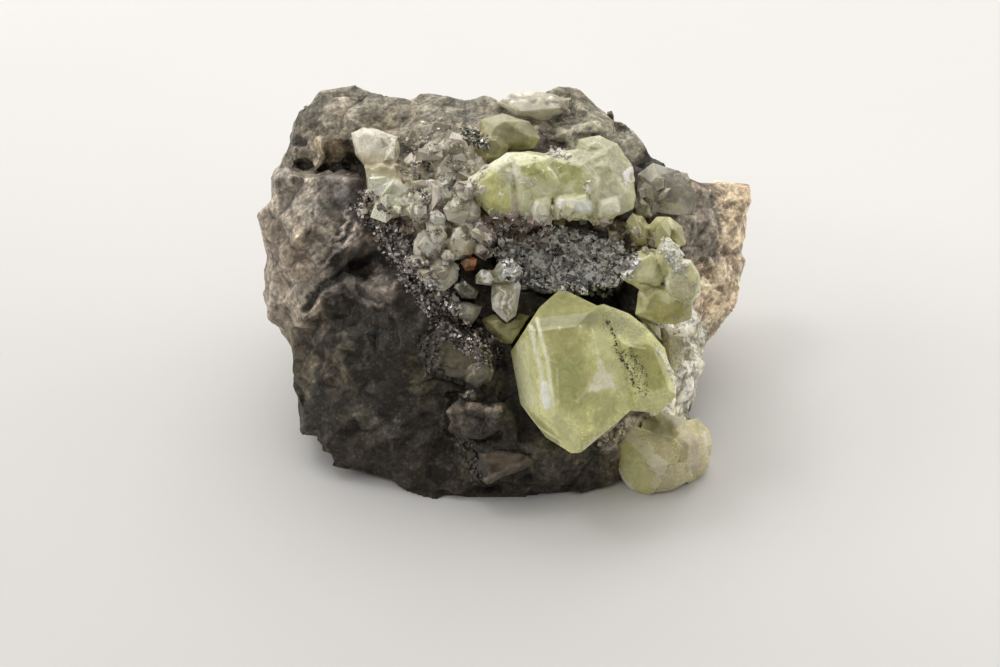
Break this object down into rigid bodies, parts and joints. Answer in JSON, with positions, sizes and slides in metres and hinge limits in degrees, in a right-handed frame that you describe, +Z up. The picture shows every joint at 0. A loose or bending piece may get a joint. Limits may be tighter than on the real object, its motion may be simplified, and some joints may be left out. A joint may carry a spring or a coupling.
{
  "type": "sphalerite mineral specimen",
  "caption": "Yellow-green sphalerite and clear quartz crystals grown on a dark, broken rock matrix with a druse-lined vug; rests on its flat underside.",
  "frame": {"origin": "on the ground, under the middle of the specimen, on its flat broken underside", "axes": "+Z up; +X along the specimen's longest side, to the right as seen from the front; the crystals face -Y and up"},
  "size_m": [0.046, 0.035, 0.029],
  "materials": {
    "rock": "rough broken rock, charcoal brown to grey, with small crystal faces that glint",
    "druse": "dark, sparkling fine crystals",
    "sphalerite": "translucent yellow-green crystal with a resinous gloss",
    "dark_sphalerite": "translucent grey-green crystal, glossy",
    "frosted_sphalerite": "cloudy khaki-yellow crystal, satin",
    "orange_sphalerite": "orange-red crystal, satin",
    "milky_quartz": "milky cream crystal, satin",
    "quartz": "clear grey-beige crystal, glossy",
    "grey_quartz": "grey, dark-flecked crystal, glossy",
    "smoky_quartz": "smoky brown-grey crystal, glassy, with curved fractures"
  },
  "bodies": {
    "root": {"matrix": "rock", "vug_crust": "druse", "main_crystal": "sphalerite", "upper_crystal": "sphalerite", "right_crystal": "sphalerite", "right_upper_crystal": "dark_sphalerite", "pale_crystal": "sphalerite", "lower_right_crystal": "frosted_sphalerite", "back_crystal": "dark_sphalerite", "olive_crystal": "dark_sphalerite", "orange_crystal": "orange_sphalerite", "milky_crystal": "milky_quartz", "white_crystal": "milky_quartz", "side_crystal": "milky_quartz", "quartz_cluster": "quartz", "small_quartz": "quartz", "right_druse": "quartz", "upper_grey_quartz": "grey_quartz", "grey_quartz_left": "grey_quartz", "grey_quartz_low": "grey_quartz", "smoky_quartz": "smoky_quartz", "brown_quartz": "smoky_quartz"}
  },
  "joints": []
}
